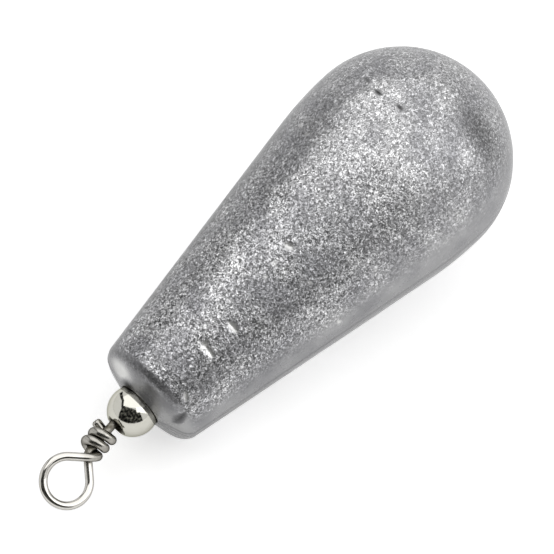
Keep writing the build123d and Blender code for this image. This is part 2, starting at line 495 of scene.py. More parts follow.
@dataclass(frozen=True)
class CastLead:
    """Lead poured in a steel mould and left as cast.

    The skin is a dull mid-grey metal. Its crystals give it a fine light and dark grain, air has tarnished it
    in soft clouds, and it is smoother where the mould's halves met. The oxide layer hides the metal in part,
    so the skin is only partly metallic and its rim stays grey at a flat angle, and nicks show the bright
    metal under it.
    The crystals are drawn coarser than the real ones, which would be too fine to show. A number on the mesh
    also darkens the colour with painted shade in places and brightens it with painted highlights in others.
    """

    body: str = "#acacad"
    tarnish: str = "#949497"
    # Colour of bright metal in the nicks and of painted highlights.
    metal_shine_and_painted_light: str = "#f4f4f2"
    rim: str = "#c2c2c2"
    crystal: float = 0.2
    fleck: float = 0.21
    fleck_distortion: float = 1.2
    pore: float = 1.2
    cloud: float = 3.0
    cloud_span: tuple[float, float] = (0.36, 0.7)
    detail: float = 3.0
    fleck_detail: float = 1.0
    seed: float = 5.0
    crystal_height: float = 0.04
    pore_height: float = 0.08
    fleck_contrast: float = 3.8
    fleck_middle: float = 0.51
    dimming_share: float = 0.62
    calm_share: float = 0.72
    bare_metallic: float = 0.65
    oxide_metallic: float = 0.3
    roughness: float = 0.27
    roughness_range: float = 0.07
    fresh_roughness: float = 0.18

    def material(self) -> bpy.types.Material:
        """Builds the material."""
        material, tree = new_material("lead_as_cast")
        place = add_node(tree, "TexCoord").outputs["Object"]
        grain = add_node(tree, "Attribute", attribute_name=Layer.GRAIN.value).outputs["Fac"]
        tarnish = add_node(tree, "Attribute", attribute_name=Layer.TARNISH_AND_PAINTED_LIGHT.value).outputs["Fac"]
        crystal, pore, cloud = (
            add_node(
                tree,
                "TexNoise",
                {"Vector": place, "W": self.seed, "Scale": per_metre(size), "Detail": self.detail},
                noise_dimensions="4D",
            )
            for size in (self.crystal, self.pore, self.cloud)
        )
        thin, thick = self.cloud_span
        cover = add_node(tree, "MapRange", {"Value": cloud, "From Min": thin, "From Max": thick})
        ground = add_node(
            tree, "MixRGB", {"Fac": cover, "Color1": linear(self.body), "Color2": linear(self.tarnish)}
        )
        fleck = add_node(
            tree,
            "TexNoise",
            {
                "Vector": place,
                "Scale": per_metre(self.fleck),
                "Detail": self.fleck_detail,
                "Distortion": self.fleck_distortion,
            },
        )
        level = add_node(tree, "Math", {0: fleck, 1: self.fleck_middle}, operation="DIVIDE")
        spread = add_node(tree, "Math", {0: level, 1: self.fleck_contrast}, operation="POWER")
        # The tarnish layer dims the colour with tarnish and painted shade where it is above zero.
        undimmed = add_node(
            tree, "Math", {0: tarnish, 1: -self.dimming_share, 2: 1.0}, operation="MULTIPLY_ADD", use_clamp=True
        )
        calm = add_node(tree, "MapRange", {"Value": cover, "To Min": 1.0, "To Max": self.calm_share})
        flecked = add_node(tree, "Math", {0: grain, 1: calm}, operation="MULTIPLY")
        even = add_node(tree, "Mix", {"Factor": flecked, "A": 1.0, "B": spread})
        shade = add_node(tree, "Math", {0: even, 1: undimmed}, operation="MULTIPLY")
        grained = add_node(tree, "VectorMath", {0: ground, "Scale": shade}, operation="SCALE")
        # Below zero it brightens the colour towards bright metal, as the nicks' metal and as painted
        # highlights.
        bare_and_highlight = add_node(tree, "Math", {0: tarnish, 1: -1.0}, operation="MULTIPLY", use_clamp=True)
        colour = add_node(tree, "MixRGB", {"Fac": bare_and_highlight, "Color1": grained, "Color2": linear(self.metal_shine_and_painted_light)})
        rough = add_node(
            tree,
            "MapRange",
            {
                "Value": pore,
                "From Min": NOISE_SPAN[0],
                "From Max": NOISE_SPAN[1],
                "To Min": self.roughness - self.roughness_range,
                "To Max": self.roughness + self.roughness_range,
            },
        )
        finish = add_node(tree, "Mix", {"Factor": bare_and_highlight, "A": rough, "B": self.fresh_roughness})
        metal = add_node(tree, "Mix", {"Factor": cover, "A": self.bare_metallic, "B": self.oxide_metallic})
        pitted = add_node(
            tree, "Bump", {"Height": pore, "Strength": grain, "Distance": self.pore_height * MM}
        )
        rough_skin = add_node(
            tree,
            "Bump",
            {
                "Height": crystal,
                "Strength": grain,
                "Distance": self.crystal_height * MM,
                "Normal": pitted,
            },
        )
        shader = add_node(
            tree,
            "BsdfPrincipled",
            {
                "Base Color": colour,
                "Metallic": metal,
                "Specular Tint": linear(self.rim),
                "Roughness": finish,
                "Normal": rough_skin,
            },
        )
        add_node(tree, "OutputMaterial", {"Surface": shader})
        return material


@dataclass(frozen=True)
class BrightNickel:
    """Bright nickel plate on a rolled brass tube, which mirrors the studio with a slightly warm tint.

    Handling has left a faint haze in patches, so the reflections are a little softer in places. Dark dirt and
    painted shade darken and dull the plate in recesses, and the rim is a little greyer at a flat angle.
    """

    name: str = "nickel_plate_bright"
    body: str = "#c9c8c0"
    haze: str = "#bab8af"
    dirt_and_shade: str = "#2c2820"
    rim: str = "#c8c8c0"
    patch: float = 0.9
    ripple: float = 0.35
    detail: float = 3.0
    ripple_height: float = 0.003
    roughness: float = 0.09
    roughness_range: float = 0.04
    soiled_roughness: float = 0.38
    dirt_and_shade_share: float = 0.35

    def material(self) -> bpy.types.Material:
        """Builds the material."""
        material, tree = new_material(self.name)
        place = add_node(tree, "TexCoord").outputs["Object"]
        grime_and_shade = add_node(tree, "Attribute", attribute_name=Layer.GRIME_AND_SHADE.value).outputs["Fac"]
        patch, ripple = (
            add_node(tree, "TexNoise", {"Vector": place, "Scale": per_metre(size), "Detail": self.detail})
            for size in (self.patch, self.ripple)
        )
        colour = add_node(
            tree, "MixRGB", {"Fac": patch, "Color1": linear(self.body), "Color2": linear(self.haze)}
        )
        rough = add_node(
            tree,
            "MapRange",
            {
                "Value": patch,
                "From Min": NOISE_SPAN[0],
                "From Max": NOISE_SPAN[1],
                "To Min": self.roughness - self.roughness_range,
                "To Max": self.roughness + self.roughness_range,
            },
        )
        blotch = add_node(tree, "Math", {0: ripple, 1: self.dirt_and_shade_share}, operation="ADD", use_clamp=True)
        # The grey-brown cover is dirt together with painted shade in recesses and behind the wire's wraps.
        dirt_and_shade_cover = add_node(tree, "Math", {0: blotch, 1: grime_and_shade}, operation="MULTIPLY")
        tinted = add_node(tree, "MixRGB", {"Fac": dirt_and_shade_cover, "Color1": colour, "Color2": linear(self.dirt_and_shade)})
        dulled = add_node(tree, "Mix", {"Factor": dirt_and_shade_cover, "A": rough, "B": self.soiled_roughness})
        waves = add_node(tree, "Bump", {"Height": ripple, "Distance": self.ripple_height * MM})
        shader = add_node(
            tree,
            "BsdfPrincipled",
            {
                "Base Color": tinted,
                "Metallic": 1.0,
                "Specular Tint": linear(self.rim),
                "Roughness": dulled,
                "Normal": waves,
            },
        )
        add_node(tree, "OutputMaterial", {"Surface": shader})
        return material


@dataclass(frozen=True)
class WireNickel(BrightNickel):
    """Nickel plate on hard drawn wire, less warm than the barrel's, with dirt and painted shade darkening it
    grey-brown on the stem and the wound part.

    Its rim mirrors less at a flat angle, which draws a thin dark line along each side of the wire.
    """

    name: str = "nickel_plate_on_drawn_wire"
    body: str = "#cbc9c4"
    haze: str = "#bdbab4"
    dirt_and_shade: str = "#514d42"
    rim: str = "#606060"


@dataclass(frozen=True)
class SwivelBarrel:
    """The swivel's tube, domed and rolled in at both ends. Heights run from its middle."""

    diameter: float = 4.7
    length: float = 10.2
    showing: float = 2.9
    wall: float = 0.55
    mouth_diameter: float = 2.16
    mouth_edge_radius: float = 0.08
    mouth_depth_share: float = 0.62
    throat_radius: float = 0.88
    waist_drop: float = 1.0
    columns: int = 160
    step: float = 0.12
    edge_step: float = 0.02

    @property
    def radius(self) -> float:
        """Outer radius."""
        return self.diameter / 2

    @property
    def cavity_radius(self) -> float:
        """Inner radius."""
        return self.radius - self.wall

    @property
    def mouth_height(self) -> float:
        """Height of the mouth's edge."""
        return self.length / 2

    @property
    def dome_height(self) -> float:
        """Height of the dome's centre."""
        return self.mouth_height - math.sqrt(self.radius**2 - (self.mouth_diameter / 2) ** 2)

    @property
    def waist_radius(self) -> float:
        """Radius of the tube between its two rounded ends."""
        return self.ball_radius(self.dome_height - self.waist_drop)

    def ball_radius(self, height: float) -> float:
        """Radius of the rounded end at a height."""
        return math.sqrt(self.radius**2 - (height - self.dome_height) ** 2)

    def outline(self) -> np.ndarray:
        """Closed outline of the tube's wall, as distances from the axis and heights."""
        centre = np.array([0, self.dome_height])
        mouth = np.array([self.mouth_diameter / 2, self.mouth_height])
        inner_height = self.dome_height + math.sqrt(self.cavity_radius**2 - self.throat_radius**2)
        mouth_depth = self.mouth_depth_share * (self.mouth_height - inner_height)
        throat = np.array([self.throat_radius, self.mouth_height - mouth_depth])
        inner = np.array([self.throat_radius, inner_height])
        radial = unit(mouth - centre)
        on_dome = mouth + np.array([radial[1], -radial[0]])
        edge = rounded(on_dome, mouth, throat, self.mouth_edge_radius, self.edge_step)
        waist = np.array([self.waist_radius, self.dome_height - self.waist_drop])
        dome = arc(centre, waist, edge[0], self.step)
        roof = arc(centre, np.array([self.cavity_radius, self.dome_height]), inner, self.step)
        wall = spaced(np.array([[self.waist_radius, 0], waist]), self.step)
        funnel = spaced(np.array([edge[-1], throat, inner]), self.step)
        bore = spaced(np.array([roof[0], [self.cavity_radius, 0]]), self.step)
        half = np.concatenate([wall[:-1], dome[:-1], edge[:-1], funnel[:-1], roof[:0:-1], bore])
        return np.concatenate([half, half[-2:0:-1] * np.array([1, -1])])

    def build(self, place: Matrix, material: bpy.types.Material) -> bpy.types.Object:
        """Makes the barrel.

        Args:
            place: Where the barrel's middle goes in the row frame.
            material: Its material.

        Returns:
            The barrel.
        """
        outline = self.outline()
        piece = rings_object("barrel_shell", list(lathe(outline, self.columns)), True, place)
        piece.data.set_sharp_from_angle(angle=SHARP_ANGLE)
        mouth_radius = self.mouth_diameter / 2
        # Inside the mouth's edge the plate is darkened and dulled by dirt and by painted shade in the recess.
        inside = 1 - eased(outline[:, 0], mouth_radius - self.mouth_edge_radius, mouth_radius)
        store(piece, Layer.GRIME_AND_SHADE, np.repeat(inside, self.columns))
        dress(piece, material, Body.SINKER, Slot.BARREL, "swivel_barrel")
        return piece


@dataclass(frozen=True)
class WireEye:
    """A headed wire with a loop whose end is wrapped round the stem. Heights run from the barrel's middle."""

    barrel: SwivelBarrel
    wire_diameter: float = 0.8
    head_diameter: float = 2.2
    head_thickness: float = 0.5
    head_edge_radius: float = 0.12
    head_edge_step: float = 0.03
    bearing_clearance: float = 0.06
    end_play: float = 0.8
    stem_showing: float = 0.57
    bend_above_wrap: float = 0.45
    bend_radius: float = 1.0
    crossing_above_wrap: float = 1.07
    crossing_gap: float = 0.26
    loop_radius: float = 2.185
    loop_offset: float = 0.23
    loop_tip: float = 0.45
    loop_bends: int = 4
    wrap_quarters: int = 8
    wrap_gap: float = 0.06
    turn_gap: float = 0.17
    wrap_swell: float = 0.055
    skin_inset: float = 0.006
    wrap_sway: float = 0.05
    tail_length: float = 1.4
    cut_radius: float = 0.3
    wrap_grime_and_shade_share: float = 0.5
    cut_rings: int = 6
    sides: int = 40
    step: float = 0.09

    @property
    def radius(self) -> float:
        """Radius of the wire."""
        return self.wire_diameter / 2

    @property
    def wrap_radius(self) -> float:
        """Radius of the wraps' centre line."""
        return self.wire_diameter + self.wrap_gap

    @property
    def wrap_pitch(self) -> float:
        """Height of one wrap."""
        return self.wire_diameter + self.turn_gap

    @property
    def tail_height(self) -> float:
        """Height of the last wrap's end."""
        return self.barrel.mouth_height + self.stem_showing + self.radius

    @property
    def first_wrap_height(self) -> float:
        """Height at which the first wrap passes the loop's side."""
        return self.tail_height + self.wrap_pitch * (self.wrap_quarters + 1) / 4

    @property
    def crossing_height(self) -> float:
        """Height at which the loop's end crosses the stem."""
        return self.first_wrap_height + self.crossing_above_wrap

    def wrap_station(self, quarter: int) -> tuple[np.ndarray, np.ndarray]:
        """Point and direction on the wraps.

        Args:
            quarter: Number of quarter turns after the first side.

        Returns:
            The point and the wire's direction there.
        """
        turn = (quarter + 1) * math.pi / 2
        sway = self.wrap_sway * (math.sin(turn) - 1)
        height = self.first_wrap_height - self.wrap_pitch * quarter / 4 - sway
        fall = self.wrap_pitch / (2 * math.pi) + self.wrap_sway * math.cos(turn)
        around = self.wrap_radius * np.array([math.sin(turn), math.cos(turn)])
        heading = unit(np.array([around[1], -around[0], -fall]))
        return np.array([*around, height]), heading

    def loop_stations(
        self, leaving_lean: float, return_lean: float, loop_height: float
    ) -> list[tuple[np.ndarray, np.ndarray]]:
        """Points and directions round the loop.

        Args:
            leaving_lean: Lean of the wire where it enters the loop.
            return_lean: Lean of the wire where it leaves the loop.
            loop_height: Height of the loop's centre.

        Returns:
            Pairs of a point and the wire's direction there.
        """
        swept = math.pi + return_lean + leaving_lean
        standoff = self.wire_diameter + self.crossing_gap
        stations = []
        for bend in range(self.loop_bends + 1):
            way = bend / self.loop_bends
            angle = swept * way - leaving_lean
            # The rise is a smooth step, and the climb is its slope.
            rise = standoff * way**2 * (3 - 2 * way)
            climb = standoff * 6 * way * (1 - way) / swept
            out = self.loop_radius * np.array([math.cos(angle), math.sin(angle)])
            point = np.array([self.loop_offset + out[0], rise, loop_height + out[1]])
            stations.append((point, unit(np.array([-out[1], climb, out[0]]))))
        return stations

    def route(self, from_height: float) -> np.ndarray:
        """Centre line of the wire from a height on its stem to its cut end.

        Args:
            from_height: Where on the stem the line starts.

        Returns:
            Points, one row each.
        """
        bend_height = self.first_wrap_height + self.bend_above_wrap
        above_crossing = math.sqrt((self.loop_radius + self.loop_tip) ** 2 - self.loop_offset**2)
        loop_height = self.crossing_height + above_crossing
        above_bend = loop_height - bend_height
        leaving_lean = math.atan2(self.loop_offset, above_bend)
        leaving_lean += math.asin(self.loop_radius / math.hypot(self.loop_offset, above_bend))
        return_lean = math.asin(self.loop_radius / math.hypot(self.loop_offset, above_crossing))
        return_lean -= math.atan2(self.loop_offset, above_crossing)

        up = np.array([0.0, 0.0, 1.0])
        outward = np.array([math.sin(leaving_lean), 0, math.cos(leaving_lean)])
        setback = self.bend_radius * math.tan(leaving_lean / 2)
        corner = up * bend_height
        bend_start = corner - up * setback
        bend_end = corner + outward * setback
        stations = self.loop_stations(leaving_lean, return_lean, loop_height)
        crossing = np.array([0, self.wire_diameter + self.crossing_gap, self.crossing_height])
        wraps = [(crossing, stations[-1][1])]
        wraps += [self.wrap_station(quarter) for quarter in range(self.wrap_quarters + 1)]
        tail = np.array([0, -self.wrap_radius, self.tail_height])
        tail_heading = unit(np.array([-self.wrap_radius, 0, -self.wrap_pitch / (2 * math.pi)]))
        wraps.append((tail, tail_heading))

        runs = [spaced(np.array([up * from_height, bend_start]), self.step)]
        runs.append(tangent_arc(bend_start, up, bend_end, self.step))
        runs.append(spaced(np.array([bend_end, stations[0][0]]), self.step)[1:])
        for here, after in zip(stations, stations[1:]):
            runs.append(biarc(*here, *after, self.step))
        runs.append(spaced(np.array([stations[-1][0], crossing]), self.step)[1:])
        for here, after in zip(wraps, wraps[1:]):
            runs.append(biarc(*here, *after, self.step))
        runs.append(spaced(np.array([tail, tail + tail_heading * self.tail_length]), self.step)[1:])
        return np.concatenate(runs)

    def head_outline(self) -> np.ndarray:
        """Outline of the upset head up to the stem, as distances from the axis and heights."""
        bearing = self.barrel.cavity_radius - self.bearing_clearance
        centre = np.array([0, self.barrel.dome_height - self.end_play])
        wide = self.head_diameter / 2
        shoulder = np.array([wide, centre[1] + math.sqrt(bearing**2 - wide**2)])
        foot = np.array([wide, shoulder[1] - self.head_thickness])
        inner = np.array([0, foot[1]])
        neck = np.array([self.radius, centre[1] + math.sqrt(bearing**2 - self.radius**2)])
        radial = unit(shoulder - centre)
        on_crown = shoulder + np.array([-radial[1], radial[0]])
        low = rounded(inner, foot, shoulder, self.head_edge_radius, self.head_edge_step)
        high = rounded(foot, shoulder, on_crown, self.head_edge_radius, self.head_edge_step)
        crown = arc(centre, high[-1], neck, self.step)
        return np.concatenate([low, high, crown[1:]])

    def rings(self) -> np.ndarray:
        """Rings of the whole eye, from its head to its cut end."""
        head = self.head_outline()
        route = self.route(head[-1][1])
        start = np.stack([np.zeros(len(head)), np.zeros(len(head)), head[:, 1]], axis=1)
        heading = unit(route[-1] - route[-2])
        turns = np.linspace(0, math.pi / 2, self.cut_rings + 1)[:-1]
        end = route[-1] - heading * self.cut_radius
        cap = end + np.outer(np.sin(turns), heading) * self.cut_radius
        line = np.concatenate([route[1 : -math.ceil(self.cut_radius / self.step)], cap])
        top = np.argmax(line[:, 2])
        wound = 1 - eased(line[:, 2], self.first_wrap_height, self.crossing_height)
        wound[:top] = 0
        radii = self.radius - self.skin_inset + self.wrap_swell * wound
        radii[-len(turns) :] -= self.cut_radius * (1 - np.cos(turns))
        turned = lathe(head, self.sides)
        swept = tube(np.concatenate([start[-1:], line]), np.r_[self.radius, radii], self.sides, False)
        return np.concatenate([turned, swept[1:]])

    def build(
        self, name: str, place: Matrix, material: bpy.types.Material, body: Body, node: str
    ) -> bpy.types.Object:
        """Makes one eye.

        Args:
            name: Name of the piece.
            place: Where the barrel's middle goes in the row frame, with the eye's own turn.
            material: Its material.
            body: Body that it moves with.
            node: CAD node that it stands for.

        Returns:
            The eye.
        """
        rings = self.rings()
        piece = rings_object(name, list(rings), False, place)
        piece.data.set_sharp_from_angle(angle=SHARP_ANGLE)
        height = rings.mean(axis=1)[:, 2]
        crossing = self.crossing_height
        # The stem below the crossing is darkened in full and the wraps and tail by half: dirt, and painted
        # shade behind the wraps and the crossing.
        dirt_and_shade = 1 - eased(height, crossing - self.radius, crossing + self.radius)
        dirt_and_shade[np.argmax(height) :] *= self.wrap_grime_and_shade_share
        store(piece, Layer.GRIME_AND_SHADE, np.r_[dirt_and_shade[0], np.repeat(dirt_and_shade, self.sides), dirt_and_shade[-1]])
        dress(piece, material, body, Slot.WIRE, node)
        return piece


@dataclass(frozen=True)
class Dent:
    """A nick in the lead: where it is, how far it reaches each way, how deep it goes and how it lies.

    The height is along the sinker's axis and the angle is round it. The turn is measured from the axis. The
    last number is how much bright metal shows in it or, below zero, how much painted shade darkens it.
    """

    height: float
    angle: float
    length: float
    width: float
    depth: float
    turn: float
    shine_and_shade: float = 0.8


@dataclass(frozen=True)
class ColourPatch:
    """A patch that darkens the lead's colour or, with a negative strength, brightens it.

    The height is along the sinker's axis and the angle is round it. The length and the spread are how far it
    reaches along the axis and round it. Most patches are painted shade, and the bright ones are painted
    light.
    """

    height: float
    angle: float
    length: float
    spread: float
    strength: float


@dataclass(frozen=True)
class LeadBody:
    """The lead casting, with the hollow that the swivel's rear half left in it."""

    barrel: SwivelBarrel
    eye: WireEye
    length: float = 44.0
    bulb_diameter: float = 21.1
    neck_diameter: float = 10.9
    flank_swell: float = 0.37
    shoulder_radius: float = 36.0
    neck_edge_radius: float = 1.35
    neck_rise: float = 1.05
    lip_radius: float = 0.12
    cast_clearance: float = 0.03
    seam_angle: float = -12.0
    seam_height: float = 0.03
    seam_width: float = 0.16
    seam_line_offset: float = 0.3
    seam_line_width: float = 0.13
    seam_line_share: float = 0.6
    smooth_angle: float = 10.0
    grainy_angle: float = 38.0
    edge_angles: tuple[float, float] = (11.0, 24.0)
    rubbed_share: float = 0.62
    bulb_calm_share: float = 0.3
    wave: float = 6.5
    wave_height: float = 0.02
    wave_seed: int = 3
    lump: float = 1.3
    lump_height: float = 0.01
    lump_seed: int = 5
    nicks: int = 46
    nick_seed: int = 11
    nick_lengths: tuple[float, float] = (0.2, 0.55)
    nick_widths: tuple[float, float] = (0.16, 0.26)
    nick_depths: tuple[float, float] = (0.04, 0.1)
    nick_shine_and_shade: tuple[float, float] = (-0.6, 0.9)
    tip_ring: float = 0.08
    step: float = 0.19
    edge_step: float = 0.07
    lip_step: float = 0.03
    hidden_step: float = 0.6
    columns: int = 288
    hollow_sides: int = 18
    hollow_stride: int = 3
    # In order: a darker patch on the ball end; painted shade along the flank's upper side; painted light
    # along its lower side; painted light on the neck's end face; a painted highlight in a crescent on that
    # face's upper side; a thin band of painted shade beside the barrel; painted shade along the top of the
    # neck's rounded edge.
    colour_patches: tuple[ColourPatch, ...] = (
        ColourPatch(-37.6, 44, 1.7, 24, 0.85),
        ColourPatch(-16.0, 144, 16.0, 18, 0.6),
        ColourPatch(-16.0, -22, 18.0, 14, -0.16),
        ColourPatch(0.3, 8, 0.9, 26, -0.3),
        ColourPatch(0.52, 129, 0.42, 23, -1.6),
        ColourPatch(0.95, 116, 0.17, 19, 2.2),
        ColourPatch(-0.15, 92, 0.5, 44, 0.85),
    )
    # Dents with a negative last number are dark slits and a gouge whose darkness is painted shade.
    dents: tuple[Dent, ...] = (
        Dent(-8.5, 58, 0.75, 0.4, 0.18, 95),
        Dent(-5.54, 63, 0.6, 0.3, 0.15, -17),
        Dent(-5.5, 55.7, 0.75, 0.36, 0.16, 100),
        Dent(-17.06, 71.7, 0.55, 0.4, 0.17, 80),
        Dent(-1.37, 39.4, 0.7, 0.24, 0.12, 123),
        Dent(0.12, 20, 1.4, 0.6, 0.16, -34, -1.5),
        Dent(-0.42, 12.7, 1.2, 0.9, 0.2, 60, 0.0),
        Dent(-33.1, 97.0, 0.75, 0.27, 0.08, -86, -1.7),
        Dent(-33.2, 82.8, 0.6, 0.27, 0.08, -87, -1.7),
        Dent(-33.6, 107.8, 0.6, 0.25, 0.06, -77, -1.2),
        Dent(-12.4, 208, 0.5, 0.3, 0.14, 30),
        Dent(-24.0, 245, 0.6, 0.25, 0.12, -35),
        Dent(-30.5, 318, 0.45, 0.3, 0.1, 15),
        Dent(-3.0, 190, 0.5, 0.3, 0.14, 70),
    )

    @property
    def bulb_radius(self) -> float:
        """Radius of the ball end."""
        return self.bulb_diameter / 2

    @property
    def neck_radius(self) -> float:
        """Radius of the neck's sharp edge."""
        return self.neck_diameter / 2

    @property
    def bulb_depth(self) -> float:
        """Distance of the ball's centre from the neck's plane."""
        return self.length - self.bulb_radius

    @property
    def flank_reach(self) -> float:
        """Distance of the flank's line from the ball's centre."""
        return self.bulb_radius + self.flank_swell

    @property
    def flank_angle(self) -> float:
        """Angle between the flank and the axis, in radians."""
        reach = math.asin(self.flank_reach / math.hypot(self.neck_radius, self.bulb_depth))
        return reach - math.atan2(self.neck_radius, self.bulb_depth)

    @property
    def swivel_height(self) -> float:
        """Height of the barrel's middle."""
        return self.neck_rise + self.barrel.showing - self.barrel.mouth_height

    @property
    def seat_radius(self) -> float:
        """Radius of the lip round the barrel."""
        return self.barrel.ball_radius(self.neck_rise - self.swivel_height) + self.cast_clearance

    def place(self) -> Matrix:
        """Where the sinker's own frame lies in the row frame, in millimetres."""
        slope = self.flank_angle
        bulb_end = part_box("lead_body")[1].x / MM
        neck = Vector((bulb_end - self.bulb_radius - self.bulb_depth * math.cos(slope), 0, 0))
        neck.z = self.neck_radius * math.cos(slope)
        nose = Vector((-math.cos(slope), 0, -math.sin(slope)))
        across = Vector((0, -1, 0))
        turn = Matrix((across, nose.cross(across), nose)).transposed()
        return Matrix.Translation(neck) @ turn.to_4x4()

    def skin_outline(self) -> np.ndarray:
        """Outline of the outside, from the ball's tip to the lip round the barrel."""
        slope = self.flank_angle
        ball = np.array([0, -self.bulb_depth])
        outward = np.array([math.cos(slope), math.sin(slope)])
        downhill = np.array([math.sin(slope), -math.cos(slope)])
        inset = self.shoulder_radius - self.flank_reach
        back = math.sqrt((self.shoulder_radius - self.bulb_radius) ** 2 - inset**2)
        shoulder = ball - outward * inset - downhill * back
        on_flank = shoulder + outward * self.shoulder_radius
        on_ball = ball + unit(ball - shoulder) * self.bulb_radius
        near_tip = ball + self.bulb_radius * unit(np.array([self.tip_ring, -self.bulb_radius]))
        edge = np.array([self.neck_radius, 0])
        seat = np.array([self.seat_radius, self.neck_rise])
        below_seat = np.array([seat[0], 0])
        neck = rounded(on_flank, edge, seat, self.neck_edge_radius, self.edge_step)
        lip = rounded(edge, seat, below_seat, self.lip_radius, self.lip_step)
        bulb = arc(ball, near_tip, on_ball, self.step)
        side = arc(shoulder, on_ball, on_flank, self.step)
        flank = spaced(np.array([on_flank, neck[0]]), self.step)
        cone = spaced(np.array([neck[-1], lip[0]]), self.step)
        return np.concatenate([bulb[:-1], side[:-1], flank[:-1], neck[:-1], cone[:-1], lip])

    def cuts(self, outline: np.ndarray, angles: np.ndarray) -> tuple[np.ndarray, np.ndarray]:
        """Works out the dents and nicks.

        Args:
            outline: Outline of the skin.
            angles: Angle of each column round the axis.

        Returns:
            How deep each point lies in a cut, and how much bright metal shows there or, below zero, how much
            painted shade darkens it.
        """
        lengths = np.concatenate([[0], np.cumsum(np.linalg.norm(np.diff(outline, axis=0), axis=1))])
        top = np.argmax(outline[:, 1])
        deep = np.zeros((len(outline), len(angles)))
        metal_shine_and_painted_light = np.zeros(deep.shape)
        for dent in (*self.dents, *self.small_nicks()):
            along = (lengths - np.interp(dent.height, outline[:top, 1], lengths[:top]))[:, None]
            apart = (angles - math.radians(dent.angle) + math.pi) % (2 * math.pi) - math.pi
            around = outline[:, :1] * apart
            turn = math.radians(dent.turn)
            onward = (along * math.cos(turn) + around * math.sin(turn)) / dent.length
            beside = (around * math.cos(turn) - along * math.sin(turn)) / dent.width
            cut = np.clip(np.clip(1 - onward**2, 0, 1) - np.abs(beside), 0, 1)
            deep += dent.depth * cut
            metal_shine_and_painted_light += np.sqrt(cut) * dent.shine_and_shade
        return deep, metal_shine_and_painted_light

    def relief(self, skin: np.ndarray, outline: np.ndarray) -> tuple[np.ndarray, np.ndarray, np.ndarray]:
        """Works out the casting's uneven skin.

        Args:
            skin: Points of the even skin, as an array of rings, columns and coordinates.
            outline: Outline that the skin was turned from.

        Returns:
            How far each point moves along its normal, how grainy it is, and how much its colour is darkened
            by tarnish and painted shade or, below zero, brightened by bright metal and painted highlights.
        """
        angles = angles_round(self.columns)
        from_seam = np.sin(angles - math.radians(self.seam_angle))
        off_seam = np.abs(outline[:, :1] * from_seam)
        normals = outline_normals(outline)
        facing = np.degrees(np.arcsin(np.abs(normals[:, :1] * from_seam)))
        grain = eased(facing, self.smooth_angle, self.grainy_angle)
        off_bulb = eased(outline[:, 1:], -self.bulb_depth, -self.bulb_depth / 2)
        grain *= 1 - self.bulb_calm_share * (1 - off_bulb)
        grain *= 1 - self.rubbed_share * eased(np.degrees(np.arcsin(normals[:, 1:])), *self.edge_angles)

        deep, metal_shine_and_painted_light = self.cuts(outline, angles)
        moved = self.wave_height * (lattice_noise(skin, self.wave, self.wave_seed) - 1) - deep
        moved += self.lump_height * (lattice_noise(skin, self.lump, self.lump_seed) - 1) * grain
        moved += self.seam_height * np.exp(-((off_seam / self.seam_width) ** 2))
        clear = self.seat_radius
        moved = np.minimum(moved, 0) * eased(outline[:, :1], clear + self.lip_radius, clear + self.neck_rise)

        # The colour is darker along a line on each side of the seam.
        beside_seam = (off_seam - self.seam_line_offset) / self.seam_line_width
        # Above zero this number darkens the colour and below zero it brightens it: it carries the darker
        # lines beside the seam, the patches, which are mostly painted shade and painted light, and the cuts'
        # bright metal and painted shade.
        tarnish = self.seam_line_share * np.exp(-(beside_seam**2)) - metal_shine_and_painted_light
        for colour_patch in self.colour_patches:
            along = (outline[:, 1:] - colour_patch.height) / colour_patch.length
            apart = (np.degrees(angles) - colour_patch.angle + 180) % 360 - 180
            tarnish += colour_patch.strength * np.exp(-(along**2) - (apart / colour_patch.spread) ** 2)
        return moved, grain * np.clip(1 - np.abs(metal_shine_and_painted_light), 0, 1), tarnish

    def small_nicks(self) -> list[Dent]:
        """The small nicks that handling leaves all over."""
        chance = np.random.default_rng(self.nick_seed)
        heights = chance.uniform(-self.bulb_depth, 0, self.nicks)
        angles = chance.uniform(0, 360, self.nicks)
        lengths = chance.uniform(*self.nick_lengths, self.nicks)
        widths = chance.uniform(*self.nick_widths, self.nicks)
        depths = chance.uniform(*self.nick_depths, self.nicks)
        turns = chance.uniform(0, 180, self.nicks)
        shine_and_shade_levels = chance.uniform(*self.nick_shine_and_shade, self.nicks)
        return [Dent(*row) for row in zip(heights, angles, lengths, widths, depths, turns, shine_and_shade_levels)]

    def build(self, place: Matrix, anchor_at: Matrix, material: bpy.types.Material) -> bpy.types.Object:
        """Makes the lead.

        Args:
            place: Where the sinker's own frame lies in the row frame.
            anchor_at: Where the anchor eye lies in the sinker's own frame.
            material: Its material.

        Returns:
            The lead.
        """
        outline = self.skin_outline()
        even = lathe(outline, self.columns)
        moved, grain, patch = self.relief(even, outline)
        directions = lathe(outline_normals(outline), self.columns)
        skin = even + directions * moved[..., None]

        ball_radius = self.barrel.radius + self.cast_clearance
        waist_radius = self.barrel.waist_radius + self.cast_clearance
        end_radius = self.barrel.mouth_diameter / 2 + self.cast_clearance
        drop = math.sqrt(ball_radius**2 - waist_radius**2)
        front = self.swivel_height + self.barrel.dome_height
        centre = np.array([0, self.swivel_height - self.barrel.dome_height])
        waist = np.array([[waist_radius, front - drop], [waist_radius, centre[1] + drop]])
        end = centre + np.array([end_radius, -math.sqrt(ball_radius**2 - end_radius**2)])
        wall = spaced(np.array([outline[-1], *waist]), self.hidden_step)
        dome = arc(centre, waist[1], end, self.hidden_step)
        pocket = lathe(np.concatenate([wall[1:], dome[1:]]), self.columns)

        route = self.eye.route(self.swivel_height - end[1])[:: self.hollow_stride]
        radii = np.full(len(route), self.eye.radius + self.cast_clearance)
        hollow = tube(carried(route, anchor_at), radii, self.hollow_sides, True)
        piece = rings_object("lead_casting", [*skin, *pocket, *hollow], False, place)
        hidden = np.zeros(pocket.shape[0] * self.columns + hollow.shape[0] * self.hollow_sides + 1)
